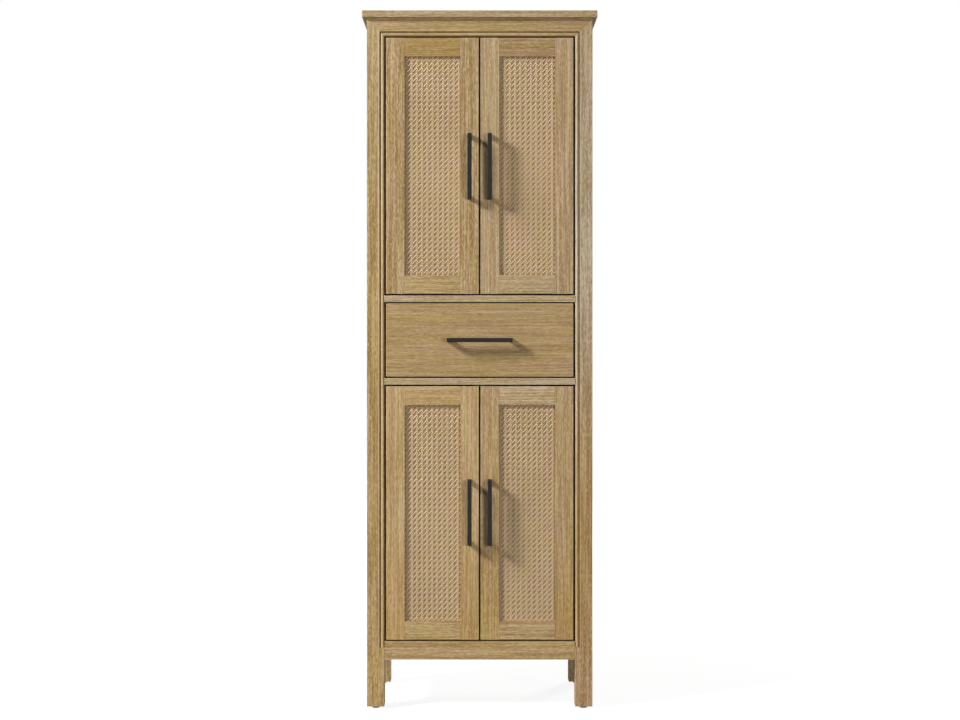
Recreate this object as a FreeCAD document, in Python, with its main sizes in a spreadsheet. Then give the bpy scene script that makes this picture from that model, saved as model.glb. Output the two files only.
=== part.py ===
"""Tall bathroom linen cabinet: four framed cane doors, one drawer, square posts on levelling glides.

Millimetres, +Z up. The front faces -Y and X runs to the right as seen from the front.
The origin lies on the floor under the middle of the whole cabinet, pulls included.
"""
import FreeCAD, Part
import os
import re
import Sketcher

doc = FreeCAD.newDocument("BathroomCabinet")

# Driving sizes, one group for each part of the cabinet
SIZES = {
    # whole cabinet
    "crown_width": 610,
    "crown_depth": 381,
    "crown_thickness": 18,
    "crown_overhang": 12,
    "crown_edge_radius": 1.5,
    "edge_radius": 1,
    # posts and face rails
    "post_size": 45,
    "face_thickness": 22,
    "apron_clearance": 128,
    "apron_height": 47.5,
    "lower_opening": 667,
    "mid_rail_height": 17,
    "drawer_opening": 197.5,
    "upper_opening": 673,
    "top_rail_height": 47,
    "bead_width": 9,
    "quirk_width": 3,
    "bead_stop_drop": 15.5,
    # sides, back and decks
    "side_panel_thickness": 12,
    "side_panel_recess": 8,
    "rear_rail_thickness": 18,
    "back_panel_thickness": 5,
    "back_panel_recess": 4,
    "deck_thickness": 16,
    "wall_hole_radius": 2.75,
    "wall_hole_spacing": 300,
    # shelves
    "shelf_thickness": 18,
    "shelf_clearance": 1.5,
    "shelf_seat_gap": 0.1,
    "low_shelf_share": 0.5,
    "middle_shelf_share": 0.33,
    "high_shelf_share": 0.66,
    "shelf_pin_radius": 2.5,
    "shelf_pin_length": 16,
    "shelf_pin_depth": 7,
    "shelf_pin_inset": 35,
    # doors
    "side_gap": 4.8,
    "meeting_gap": 4.4,
    "door_gap": 4.4,
    "drawer_gap": 3.5,
    "door_thickness": 20,
    "frame_width": 48,
    "groove_depth": 7,
    "groove_front": 7,
    "cane_thickness": 1.2,
    "backing_thickness": 4,
    "panel_clearance": 0.5,
    # concealed hinges
    "hinge_inset": 100,
    "pin_inset": 19,
    "pin_depth": 11,
    "pin_radius": 1.6,
    "pin_length": 24,
    "running_clearance": 0.05,
    "cup_inset": 22,
    "cup_radius": 17.5,
    "cup_depth": 13.5,
    "cup_wall": 0.8,
    "cup_fit": 0.1,
    "flange_overlap": 1.5,
    "flange_thickness": 1.2,
    "wing_offset": 9.5,
    "wing_width": 13,
    "wing_margin": 3,
    "ear_width": 7,
    "ear_rise": 6.7,
    "ear_thickness": 1.5,
    "ear_gap": 1,
    "eye_radius": 3,
    "arm_width": 16,
    "arm_thickness": 2,
    "arm_reach_across": 20.2,
    "arm_reach_back": 14.7,
    "arm_bend_across": 12,
    "arm_bend_back": 26,
    "arm_heel_across": 10,
    "arm_heel_back": 33,
    "arm_foot_back": 41,
    "plate_start": 52,
    "plate_length": 52,
    "plate_height": 40,
    "plate_thickness": 3,
    "arm_foot_inset": 6,
    "packer_length": 65,
    "packer_height": 60,
    # screws
    "cup_screw_radius": 1.9,
    "cup_screw_spacing": 45,
    "cup_screw_length": 12,
    "cup_screw_head_radius": 3.5,
    "cup_screw_head_height": 1.8,
    "pull_screw_radius": 2,
    "pull_screw_grip": 10,
    "pull_screw_head_radius": 4,
    "pull_screw_head_height": 2.4,
    "screw_clearance": 0.1,
    "screw_tip_gap": 1,
    # bar pulls
    "pull_length": 170,
    "pull_width": 11,
    "pull_bar_depth": 10,
    "pull_projection": 32,
    "pull_edge_radius": 0.8,
    "pull_shift": 3,
    # drawer
    "drawer_front_thickness": 20,
    "drawer_lift": 12,
    "drawer_box_height": 140,
    "drawer_back_gap": 3,
    "drawer_side_thickness": 12,
    "drawer_bottom_thickness": 5,
    "drawer_bottom_lift": 8,
    "drawer_groove_depth": 6,
    # ball slides
    "slide_space": 12.7,
    "slide_height": 45,
    "slide_sheet": 1.2,
    "slide_gap": 0.5,
    "slide_flange": 10.5,
    "slide_rise": 50,
    # door stops
    "stop_width": 40,
    "stop_depth": 14,
    "stop_height": 16,
    "stop_gap": 0.3,
    # levelling glides
    "glide_height": 6,
    "glide_radius": 9.25,
    "glide_gap": 0.3,
    "stem_radius": 4,
    "stem_length": 28,
    "stem_room": 6,
    "insert_radius": 6.5,
    "insert_length": 20,
    # cuts run this far past the face that they open
    "overrun": 1,
}

# Places worked out from the driving sizes
PLACES = {
    "half_body": "crown_width / 2 - crown_overhang",
    "body_depth": "crown_depth - crown_overhang",
    "front": "(pull_projection - body_depth) / 2",
    "back": "front + body_depth",
    "opening": "half_body - post_size",
    "side_inner": "half_body - side_panel_recess - side_panel_thickness",
    "post_back": "front + post_size",
    "rear_post_front": "back - post_size",
    "face_back": "front + face_thickness",
    "back_panel_front": "back - back_panel_recess - back_panel_thickness",
    "rear_rail_front": "back_panel_front - rear_rail_thickness",
    "apron_top": "apron_clearance + apron_height",
    "lower_top": "apron_top + lower_opening",
    "drawer_floor": "lower_top + mid_rail_height",
    "drawer_top": "drawer_floor + drawer_opening",
    "upper_floor": "drawer_top + mid_rail_height",
    "upper_top": "upper_floor + upper_opening",
    "crown_underside": "upper_top + top_rail_height",
    "bead_radius": "bead_width / 2",
    "bead_stop": "apron_top - bead_stop_drop",
    "bead_zone": "bead_width + quirk_width",
    "door_outer": "opening - side_gap",
    "door_inner": "meeting_gap / 2",
    "door_back": "front + door_thickness",
    "cane_front": "front + groove_front",
    "backing_front": "cane_front + cane_thickness",
    "groove_back": "backing_front + backing_thickness",
    "pull_middle": "door_inner + frame_width / 2",
    "pull_spacing": "pull_length - pull_bar_depth",
    "pin_x": "door_outer - pin_inset",
    "pin_y": "front + pin_depth",
    "cup_x": "door_outer - cup_inset",
    "cup_front": "door_back - cup_depth",
    "flange_back": "door_back + flange_thickness",
    "wing_x": "cup_x - wing_offset",
    "wing_length": "cup_screw_spacing + 2 * (cup_screw_head_radius + wing_margin)",
    "ear_inner": "arm_width / 2 + ear_gap",
    "arm_foot_x": "opening - plate_thickness - arm_thickness / 2",
    "front_bottom": "drawer_floor + drawer_gap",
    "front_top": "drawer_top - drawer_gap",
    "drawer_middle": "(front_bottom + front_top) / 2",
    "drawer_outer": "opening - slide_space",
    "drawer_side_inner": "drawer_outer - drawer_side_thickness",
    "drawer_back": "rear_post_front - drawer_back_gap",
    "subfront_front": "front + drawer_front_thickness",
    "subfront_back": "subfront_front + drawer_side_thickness",
    "box_bottom": "front_bottom + drawer_lift",
    "box_top": "box_bottom + drawer_box_height",
    "box_floor": "box_bottom + drawer_bottom_lift",
    "slide_middle": "box_bottom + slide_rise",
    "outer_web": "opening - slide_sheet",
    "middle_web": "outer_web - slide_gap - slide_sheet",
    "flange_tips": "opening - slide_flange",
    "glide_x": "half_body - post_size / 2",
    "glide_front_y": "front + post_size / 2",
    "glide_back_y": "back - post_size / 2",
}

sheet = doc.addObject("Spreadsheet::Sheet", "Sizes")
for row, (alias, size) in enumerate(SIZES.items(), start=1):
    sheet.set(f"A{row}", alias)
    sheet.set(f"B{row}", str(size))
    sheet.setAlias(f"B{row}", alias)
doc.recompute()


def formula(text):
    """Spell out place names, and point size names at the sheet."""
    def spell(match):
        word = match.group(0)
        if word in PLACES:
            return f"({formula(PLACES[word])})"
        return f"Sizes.{word}" if word in SIZES else word
    return re.sub(r"[a-z_]+", spell, str(text))


def bind(thing, setting, text):
    thing.setExpression(setting, formula(text))


def size_of(text):
    """The present value of a formula, for a first guess that its expression then replaces."""
    probe = doc.addObject("App::FeaturePython", "probe")
    probe.addProperty("App::PropertyFloat", "result")
    bind(probe, "result", text)
    doc.recompute()
    result = probe.result
    doc.removeObject(probe.Name)
    return result


nodes = []


def keep(thing, label):
    """Name a finished sub-part, which becomes a file of that name."""
    thing.Label = label
    nodes.append(thing)
    return thing


def make_body(name):
    return doc.addObject("PartDesign::Body", name)


# Turns that lay a cylinder's own axis along X, Y or Z
AXIS_TURNS = {
    "x": FreeCAD.Rotation(FreeCAD.Vector(0, 1, 0), 90),
    "y": FreeCAD.Rotation(FreeCAD.Vector(1, 0, 0), -90),
    "z": FreeCAD.Rotation(),
}


def block(body, x, y, z, cut=False):
    """A box from the first to the second end of each pair."""
    feature = body.newObject("PartDesign::SubtractiveBox" if cut else "PartDesign::AdditiveBox", "Block")
    for side, axis, (low, high) in zip(("Length", "Width", "Height"), "xyz", (x, y, z)):
        bind(feature, side, f"({high}) - ({low})")
        bind(feature, f"Placement.Base.{axis}", low)
    return feature


def rod(body, axis, start, radius, length, cut=False):
    """A cylinder along an axis, from its start point."""
    kind = "PartDesign::SubtractiveCylinder" if cut else "PartDesign::AdditiveCylinder"
    feature = body.newObject(kind, "Rod")
    feature.Placement = FreeCAD.Placement(FreeCAD.Vector(), AXIS_TURNS[axis])
    for letter, place in zip("xyz", start):
        bind(feature, f"Placement.Base.{letter}", place)
    bind(feature, "Radius", radius)
    bind(feature, "Height", length)
    return feature


def round_edges(body, radius, picked=None):
    """Fillet every edge of the tip, or those whose two ends both pass the test."""
    base = body.Tip
    fillet = body.newObject("PartDesign::Fillet", "Fillet")
    if picked is None:
        fillet.Base = (base, [])
        fillet.UseAllEdges = True
    else:
        doc.recompute()
        names = []
        for number, edge in enumerate(base.Shape.Edges, start=1):
            if all(picked(vertex.Point) for vertex in edge.Vertexes):
                names.append(f"Edge{number}")
        fillet.Base = (base, names)
    bind(fillet, "Radius", radius)
    return fillet


def outline(body, role, points, offset="0"):
    """A closed sketch of straight lines on one of the body's origin planes."""
    sketch = body.newObject("Sketcher::SketchObject", "Outline")
    plane = next(item for item in body.Origin.OriginFeatures if item.Role == role)
    sketch.AttachmentSupport = [(plane, "")]
    sketch.MapMode = "FlatFace"
    bind(sketch, "AttachmentOffset.Base.z", offset)
    draw_points(sketch, points, closed=True)
    return sketch


def draw_points(sketch, points, closed):
    """Join the points with lines, each point held by two bound distances from the origin."""
    corners = [FreeCAD.Vector(size_of(across), size_of(up), 0) for across, up in points]
    count = len(points) if closed else len(points) - 1
    for index in range(count):
        sketch.addGeometry(Part.LineSegment(corners[index], corners[(index + 1) % len(points)]), False)
    for index in range(count if closed else count - 1):
        sketch.addConstraint(Sketcher.Constraint("Coincident", index, 2, (index + 1) % count, 1))
    for index, (place, corner) in enumerate(zip(points, corners)):
        line, end = (index, 1) if index < count else (index - 1, 2)
        for kind, text, distance in zip(("DistanceX", "DistanceY"), place, corner):
            number = sketch.addConstraint(Sketcher.Constraint(kind, -1, 1, line, end, distance))
            bind(sketch, f"Constraints[{number}]", text)


def pocket(body, sketch, depth):
    feature = body.newObject("PartDesign::Pocket", "Pocket")
    feature.Profile = sketch
    bind(feature, "Length", depth)
    return feature


def group(label, members):
    """Several separate solids kept under one name."""
    thing = doc.addObject("Part::Compound", label)
    thing.Links = members
    return keep(thing, label)


def mirrored(thing):
    """The same piece on the other side of the cabinet's middle plane."""
    copy = doc.addObject("Part::Mirroring", f"{thing.Name}_mirrored")
    copy.Source = thing
    copy.Normal = FreeCAD.Vector(1, 0, 0)
    copy.Base = FreeCAD.Vector(0, 0, 0)
    return copy


def pair(label, thing):
    """A right-hand piece and its left-hand twin in one node."""
    return group(label, [thing, mirrored(thing)])


def plain(x, y, z):
    """A body that is one box."""
    body = make_body("Board")
    block(body, x, y, z)
    return body


def both(distance):
    """A span as far to the left of the middle as to the right."""
    return (f"-({distance})", distance)


# Posts: the front pair carries the bead, and is notched for the mitred top rail
def make_post(y):
    body = make_body("Post")
    block(body, ("opening", "half_body"), y, ("glide_height", "crown_underside"))
    return body


def bore_post(body, y):
    rod(body, "z", ("glide_x", y, "glide_height - overrun"), "insert_radius",
        "stem_length + stem_room + overrun", cut=True)


def make_front_post():
    body = make_post(("front", "post_back"))
    outer = size_of("half_body")
    round_edges(body, "edge_radius", lambda point: abs(point.x - outer) < size_of("overrun")
                and size_of("glide_height") - size_of("overrun") < point.z)
    block(body, ("opening - overrun", "opening + bead_zone"), ("front - overrun", "front + bead_radius"),
          ("bead_stop", "crown_underside + overrun"), cut=True)
    rod(body, "z", ("opening + bead_radius", "front + bead_radius", "bead_stop"), "bead_radius",
        "crown_underside - bead_stop")
    mitre = outline(body, "XZ_Plane", [
        ("opening", "upper_top"),
        ("half_body", "upper_top + post_size"),
        ("half_body + overrun", "upper_top + post_size"),
        ("half_body + overrun", "crown_underside + overrun"),
        ("opening - overrun", "crown_underside + overrun"),
        ("opening - overrun", "upper_top"),
    ], "-(front)")
    pocket(body, mitre, "face_thickness")
    bore_post(body, "glide_front_y")
    return body


front_post_right = keep(make_front_post(), "front_post_right")
front_post_left = keep(mirrored(front_post_right), "front_post_left")

rear_post = make_post(("rear_post_front", "back"))
round_edges(rear_post, "edge_radius", lambda point: abs(point.x - size_of("half_body")) < size_of("overrun"))
bore_post(rear_post, "glide_back_y")
pair("rear_posts", rear_post)


# Crown board on top
def make_top_board():
    body = plain(both("crown_width / 2"), ("front - crown_overhang", "back"),
                 ("crown_underside", "crown_underside + crown_thickness"))
    round_edges(body, "crown_edge_radius")
    return body


keep(make_top_board(), "top_board")


# Front top rail: a bead along its lower edge, mitred into the bead of each post
def make_front_top_rail():
    body = plain(both("half_body"), ("front", "face_back"), ("upper_top", "crown_underside"))
    block(body, both("half_body + overrun"), ("front - overrun", "front + bead_radius"),
          ("upper_top - overrun", "upper_top + bead_zone"), cut=True)
    rod(body, "x", ("-(half_body)", "front + bead_radius", "upper_top + bead_radius"), "bead_radius",
        "2 * half_body")
    for side in ("", "-"):
        corner = outline(body, "XZ_Plane", [
            (f"{side}(opening - overrun)", "upper_top - overrun"),
            (f"{side}(half_body + overrun)", "upper_top - overrun"),
            (f"{side}(half_body + overrun)", "upper_top + post_size + overrun"),
        ], "overrun - (front)")
        pocket(body, corner, "face_thickness + 2 * overrun")
    return body


keep(make_front_top_rail(), "front_top_rail")

# Apron between the front legs, and the two rails above and below the drawer
keep(plain(both("opening"), ("front", "face_back"), ("apron_clearance", "apron_top")), "front_apron")


def make_mid_rail(bottom):
    return plain(both("opening"), ("front", "face_back"), (bottom, f"{bottom} + mid_rail_height"))


group("mid_rails", [make_mid_rail("lower_top"), make_mid_rail("drawer_top")])

# Rails that join front and rear posts, and the rear posts to each other
LOW_RAIL = ("apron_clearance", "apron_top")
HIGH_RAIL = ("upper_top", "crown_underside")
side_rails = []
rear_rails = []
for level in (LOW_RAIL, HIGH_RAIL):
    side_rail = plain(("side_inner", "half_body"), ("post_back", "rear_post_front"), level)
    side_rails += [side_rail, mirrored(side_rail)]
    rear_rails.append(plain(both("opening"), ("rear_rail_front", "back_panel_front"), level))
group("side_rails", side_rails)


def drill_wall_holes(body):
    for x in both("wall_hole_spacing / 2"):
        rod(body, "y", (x, "rear_rail_front - overrun", "upper_top + top_rail_height / 2"),
            "wall_hole_radius", "rear_rail_thickness + back_panel_thickness + 2 * overrun", cut=True)


drill_wall_holes(rear_rails[1])
group("rear_rails", rear_rails)

back_panel = plain(both("opening"), ("back_panel_front", "back_panel_front + back_panel_thickness"),
                   ("apron_clearance", "crown_underside"))
drill_wall_holes(back_panel)
keep(back_panel, "back_panel")


# Shelf pins stand in blind holes of the side panels, four under each shelf
SHELF_BOTTOMS = (
    "apron_top + lower_opening * low_shelf_share",
    "upper_floor + upper_opening * middle_shelf_share",
    "upper_floor + upper_opening * high_shelf_share",
)
PIN_ROWS = ("post_back + shelf_pin_inset", "rear_post_front - shelf_pin_inset")


def pin_height(bottom):
    return f"{bottom} - shelf_seat_gap - shelf_pin_radius"


side_panel = plain(("side_inner", "side_inner + side_panel_thickness"), ("post_back", "rear_post_front"),
                   ("apron_top", "upper_top"))
shelf_pins = []
for bottom in SHELF_BOTTOMS:
    for row in PIN_ROWS:
        rod(side_panel, "x", ("side_inner - overrun", row, pin_height(bottom)), "shelf_pin_radius",
            "shelf_pin_depth + overrun", cut=True)
        pin = make_body("ShelfPin")
        rod(pin, "x", ("side_inner + shelf_pin_depth - shelf_pin_length", row, pin_height(bottom)),
            "shelf_pin_radius", "shelf_pin_length")
        shelf_pins += [pin, mirrored(pin)]
pair("side_panels", side_panel)
group("shelf_pins", shelf_pins)


def make_shelf(bottom):
    return plain(both("side_inner - shelf_clearance"),
                 ("post_back + shelf_clearance", "rear_post_front - shelf_clearance"),
                 (bottom, f"{bottom} + shelf_thickness"))


group("shelves", [make_shelf(bottom) for bottom in SHELF_BOTTOMS])


# Fixed decks behind the face rails, notched round the four posts
def make_deck(top):
    level = (f"{top} - deck_thickness", top)
    body = plain(both("side_inner"), ("face_back", "rear_rail_front"), level)
    clear_level = (f"{top} - deck_thickness - overrun", f"{top} + overrun")
    for x in (("opening", "half_body"), ("-(half_body)", "-(opening)")):
        block(body, x, ("front", "post_back"), clear_level, cut=True)
        block(body, x, ("rear_post_front", "back"), clear_level, cut=True)
    return body


group("decks", [make_deck(top) for top in ("apron_top", "drawer_floor", "upper_floor")])


# Packers bring the hinge plates and the slides level with the inner faces of the posts
DOORS = {
    "lower": ("apron_top + door_gap", "lower_top - door_gap"),
    "upper": ("upper_floor + door_gap", "upper_top - door_gap"),
}


def hinge_heights(level):
    bottom, top = DOORS[level]
    return (f"{bottom} + hinge_inset", f"{top} - hinge_inset")


def make_packer(middle, depth):
    packer = plain(("opening", "side_inner"), ("post_back", depth),
                   (f"{middle} - packer_height / 2", f"{middle} + packer_height / 2"))
    return [packer, mirrored(packer)]


packers = make_packer("slide_middle", "rear_post_front")
for level in DOORS:
    for height in hinge_heights(level):
        packers += make_packer(height, "post_back + packer_length")
group("side_packers", packers)


# Concealed hinge: the arm curls round the door's edge from the plate to the pin in the cup
def make_plate(height):
    return plain(("opening - plate_thickness", "opening"),
                 ("front + plate_start", "front + plate_start + plate_length"),
                 (f"{height} - plate_height / 2", f"{height} + plate_height / 2"))


def make_arm(height):
    path = doc.addObject("Sketcher::SketchObject", "ArmPath")
    bind(path, "Placement.Base.z", f"{height} - arm_width / 2")
    draw_points(path, [
        ("pin_x", "pin_y"),
        ("pin_x - arm_reach_across", "pin_y + arm_reach_back"),
        ("pin_x - arm_bend_across", "pin_y + arm_bend_back"),
        ("pin_x + arm_heel_across", "pin_y + arm_heel_back"),
        ("arm_foot_x", "pin_y + arm_foot_back"),
        ("arm_foot_x", "front + plate_start + plate_length - arm_foot_inset"),
    ], closed=False)
    strip = doc.addObject("Part::Offset2D", "ArmStrip")
    strip.Source = path
    strip.Mode = "Pipe"
    strip.Join = "Arc"
    strip.Fill = True
    bind(strip, "Value", "arm_thickness / 2")
    bar = doc.addObject("Part::Extrusion", "ArmBar")
    bar.Base = strip
    bar.DirMode = "Custom"
    bar.Dir = FreeCAD.Vector(0, 0, 1)
    bar.Solid = True
    bind(bar, "LengthFwd", "arm_width")
    eye = doc.addObject("Part::Cylinder", "ArmEye")
    bore = doc.addObject("Part::Cylinder", "ArmBore")
    for ring, radius, past in ((eye, "eye_radius", "0"), (bore, "pin_radius + running_clearance", "overrun")):
        bind(ring, "Radius", radius)
        bind(ring, "Height", f"arm_width + 2 * ({past})")
        bind(ring, "Placement.Base.x", "pin_x")
        bind(ring, "Placement.Base.y", "pin_y")
        bind(ring, "Placement.Base.z", f"{height} - arm_width / 2 - ({past})")
    whole = doc.addObject("Part::Fuse", "ArmWhole")
    whole.Base = bar
    whole.Tool = eye
    arm = doc.addObject("Part::Cut", "Arm")
    arm.Base = whole
    arm.Tool = bore
    return arm


arms = []
plates = []
for level in DOORS:
    for height in hinge_heights(level):
        arm = make_arm(height)
        arms += [arm, mirrored(arm)]
        plate = make_plate(height)
        plates += [plate, mirrored(plate)]
group("hinge_arms", arms)
group("hinge_plates", plates)


# Pieces of one door, made for the right side
def make_stile(level, hinged):
    bottom, top = DOORS[level]
    if hinged:
        near, far = "door_outer - frame_width", "door_outer"
        groove = (f"{near} - overrun", f"{near} + groove_depth")
        edge = size_of(far)
    else:
        near, far = "door_inner", "door_inner + frame_width"
        groove = (f"{far} - groove_depth", f"{far} + overrun")
        edge = size_of(near)
    body = plain((near, far), ("front", "door_back"), (bottom, top))
    round_edges(body, "edge_radius", lambda point: abs(point.x - edge) < size_of("overrun"))
    block(body, groove, ("cane_front", "groove_back"), (f"{bottom} - overrun", f"{top} + overrun"), cut=True)
    if hinged:
        bore_for_cups(body, level)
    else:
        for height in pull_screw_heights(level):
            rod(body, "y", ("pull_middle", "front - overrun", height),
                "pull_screw_radius + screw_clearance", "door_thickness + 2 * overrun", cut=True)
    return body


def bore_for_cups(body, level):
    for height in hinge_heights(level):
        rod(body, "y", ("cup_x", "cup_front", height), "cup_radius + cup_fit", "cup_depth + overrun",
            cut=True)
        for screw_height in placed(height, both("cup_screw_spacing / 2")):
            rod(body, "y", ("wing_x", "door_back - cup_screw_length", screw_height),
                "cup_screw_radius + screw_clearance", "cup_screw_length + overrun", cut=True)


def door_middle(level):
    bottom, top = DOORS[level]
    return f"({bottom} + {top}) / 2"


def pull_height(level):
    """A pull sits a little nearer to the drawer than the middle of its door."""
    shift = "+ pull_shift" if level == "lower" else "- pull_shift"
    return f"{door_middle(level)} {shift}"


def pull_screw_heights(level):
    return placed(pull_height(level), both("pull_spacing / 2"))


def make_door_rail(level, at_top):
    """Grooved for the panel, with a tongue at each end in the groove of the stile."""
    bottom, top = DOORS[level]
    left, right = "door_inner + frame_width", "door_outer - frame_width"
    if at_top:
        low, high = f"{top} - frame_width", top
        groove = (f"{low} - overrun", f"{low} + groove_depth")
        tongue = (groove[1], high)
        edge = size_of(high)
    else:
        low, high = bottom, f"{bottom} + frame_width"
        groove = (f"{high} - groove_depth", f"{high} + overrun")
        tongue = (low, groove[0])
        edge = size_of(low)
    body = plain((left, right), ("front", "door_back"), (low, high))
    round_edges(body, "edge_radius", lambda point: abs(point.z - edge) < size_of("overrun"))
    block(body, (f"{left} - overrun", f"{right} + overrun"), ("cane_front", "groove_back"), groove, cut=True)
    block(body, (f"{left} - groove_depth", f"{right} + groove_depth"), ("cane_front", "groove_back"), tongue)
    return body


def make_panel(level, y):
    bottom, top = DOORS[level]
    inset = "frame_width - groove_depth + panel_clearance"
    return plain((f"door_inner + {inset}", f"door_outer - ({inset})"), y,
                 (f"{bottom} + {inset}", f"{top} - ({inset})"))


def placed(centre, ends):
    """A span given from a centre, as a span in the cabinet's own frame."""
    return tuple(f"{centre} + ({end})" for end in ends)


def make_pull(centre_x, centre_z, upright):
    """A square bar on two square legs, standing on end or lying level."""
    body = make_body("Pull")
    thickness = both("pull_width / 2")
    bar = ("front - pull_projection", "front - pull_projection + pull_bar_depth")
    pieces = (
        (both("pull_length / 2"), bar),
        (("pull_length / 2 - pull_bar_depth", "pull_length / 2"), (bar[0], "front")),
        (("-(pull_length / 2)", "pull_bar_depth - pull_length / 2"), (bar[0], "front")),
    )
    for along, y in pieces:
        x, z = (thickness, along) if upright else (along, thickness)
        block(body, placed(centre_x, x), y, placed(centre_z, z))
    round_edges(body, "pull_edge_radius")
    for along in both("pull_spacing / 2"):
        x, z = ("0", along) if upright else (along, "0")
        rod(body, "y", (f"{centre_x} + {x}", "front - pull_screw_grip", f"{centre_z} + {z}"),
            "pull_screw_radius + screw_clearance", "pull_screw_grip + overrun", cut=True)
    return body


def make_cup(height):
    body = make_body("Cup")
    rod(body, "y", ("cup_x", "cup_front", height), "cup_radius", "cup_depth")
    rod(body, "y", ("cup_x", "door_back", height), "cup_radius + flange_overlap", "flange_thickness")
    block(body, ("wing_x - wing_width / 2", "wing_x + wing_width / 2"), ("door_back", "flange_back"),
          (f"{height} - wing_length / 2", f"{height} + wing_length / 2"))
    rod(body, "y", ("cup_x", "cup_front + cup_wall", height), "cup_radius - cup_wall",
        "cup_depth + flange_thickness + overrun", cut=True)
    ear = ("cup_front + cup_wall", "cup_front + cup_wall + ear_rise")
    for low in (f"{height} + ear_inner", f"{height} - ear_inner - ear_thickness"):
        block(body, ("pin_x - ear_width / 2", "pin_x + ear_width / 2"), ear, (low, f"{low} + ear_thickness"))
    rod(body, "z", ("pin_x", "pin_y", f"{height} - pin_length / 2"), "pin_radius", "pin_length", cut=True)
    for screw_height in placed(height, both("cup_screw_spacing / 2")):
        rod(body, "y", ("wing_x", "door_back - overrun", screw_height),
            "cup_screw_radius + screw_clearance", "flange_thickness + 2 * overrun", cut=True)
    return body


def make_screw(x, z, seat, tip, radius, head_radius, head_height):
    """A round-headed screw along Y, its head on the far side of the seat."""
    body = make_body("Screw")
    rod(body, "y", (x, tip, z), radius, f"{seat} - ({tip})")
    rod(body, "y", (x, seat, z), head_radius, head_height)
    return body


def make_pull_screw(x, z, seat):
    return make_screw(x, z, seat, "front - pull_screw_grip + screw_tip_gap", "pull_screw_radius",
                      "pull_screw_head_radius", "pull_screw_head_height")


def make_fixings(level):
    """Hinge pins, cup screws and pull screws of one door."""
    pieces = []
    for height in hinge_heights(level):
        pin = make_body("Pin")
        rod(pin, "z", ("pin_x", "pin_y", f"{height} - pin_length / 2"), "pin_radius", "pin_length")
        pieces.append(pin)
        for screw_height in placed(height, both("cup_screw_spacing / 2")):
            pieces.append(make_screw("wing_x", screw_height, "flange_back",
                                     "door_back - cup_screw_length + screw_tip_gap", "cup_screw_radius",
                                     "cup_screw_head_radius", "cup_screw_head_height"))
    for height in pull_screw_heights(level):
        pieces.append(make_pull_screw("pull_middle", height, "door_back"))
    return pieces


def keep_both_sides(name, thing):
    keep(thing, f"{name[0]}_right_{name[1]}")
    keep(mirrored(thing), f"{name[0]}_left_{name[1]}")


def compound(members):
    thing = doc.addObject("Part::Compound", "Members")
    thing.Links = members
    return thing


for level in DOORS:
    keep_both_sides((level, "stiles"), compound([make_stile(level, True), make_stile(level, False)]))
    keep_both_sides((level, "rails"), compound([make_door_rail(level, False), make_door_rail(level, True)]))
    keep_both_sides((level, "cane_panel"), make_panel(level, ("cane_front", "backing_front")))
    keep_both_sides((level, "backing_panel"), make_panel(level, ("backing_front", "groove_back")))
    keep_both_sides((level, "pull"), make_pull("pull_middle", pull_height(level), True))
    keep_both_sides((level, "hinge_cups"), compound([make_cup(height) for height in hinge_heights(level)]))
    keep_both_sides((level, "fixings"), compound(make_fixings(level)))


# Drawer: an inset front on a grooved box
def make_drawer_front():
    body = plain(both("door_outer"), ("front", "subfront_front"), ("front_bottom", "front_top"))
    round_edges(body, "edge_radius")
    drill_drawer(body, "front - overrun", "drawer_front_thickness + 2 * overrun")
    return body


def drill_drawer(body, start, length):
    for x in both("pull_spacing / 2"):
        rod(body, "y", (x, start, "drawer_middle"), "pull_screw_radius + screw_clearance", length, cut=True)


def make_drawer_side():
    body = plain(("drawer_side_inner", "drawer_outer"), ("subfront_front", "drawer_back"),
                 ("box_bottom", "box_top"))
    block(body, ("drawer_side_inner - overrun", "drawer_side_inner + drawer_groove_depth"),
          ("subfront_front", "drawer_back + overrun"), ("box_floor", "box_floor + drawer_bottom_thickness"),
          cut=True)
    return body


def make_subfront():
    body = plain(both("drawer_side_inner"), ("subfront_front", "subfront_back"), ("box_bottom", "box_top"))
    block(body, both("drawer_side_inner + overrun"),
          ("subfront_back - drawer_groove_depth", "subfront_back + overrun"),
          ("box_floor", "box_floor + drawer_bottom_thickness"), cut=True)
    drill_drawer(body, "subfront_front - overrun", "drawer_side_thickness + 2 * overrun")
    return body


def make_drawer_back():
    return plain(both("drawer_side_inner"), ("drawer_back - drawer_side_thickness", "drawer_back"),
                 ("box_floor + drawer_bottom_thickness", "box_top"))


keep(make_drawer_front(), "drawer_front")
pair("drawer_sides", make_drawer_side())
group("drawer_ends", [make_subfront(), make_drawer_back()])
keep(plain(both("drawer_side_inner + drawer_groove_depth - panel_clearance"),
           ("subfront_back - drawer_groove_depth + panel_clearance", "drawer_back"),
           ("box_floor", "box_floor + drawer_bottom_thickness")), "drawer_bottom")
keep(make_pull("0", "drawer_middle", False), "drawer_pull")
pair("drawer_screws", make_pull_screw("pull_spacing / 2", "drawer_middle", "subfront_back"))


# Ball slides: three nested channels on each side
def make_channel(web, flanges, half_height):
    """A channel whose web and flanges each fill a span in X."""
    y = ("face_back", "drawer_back")
    body = plain(web, y, (f"slide_middle - ({half_height})", f"slide_middle + {half_height}"))
    for bottom in (f"slide_middle - ({half_height})", f"slide_middle + {half_height} - slide_sheet"):
        block(body, flanges, y, (bottom, f"{bottom} + slide_sheet"))
    return body


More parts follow.
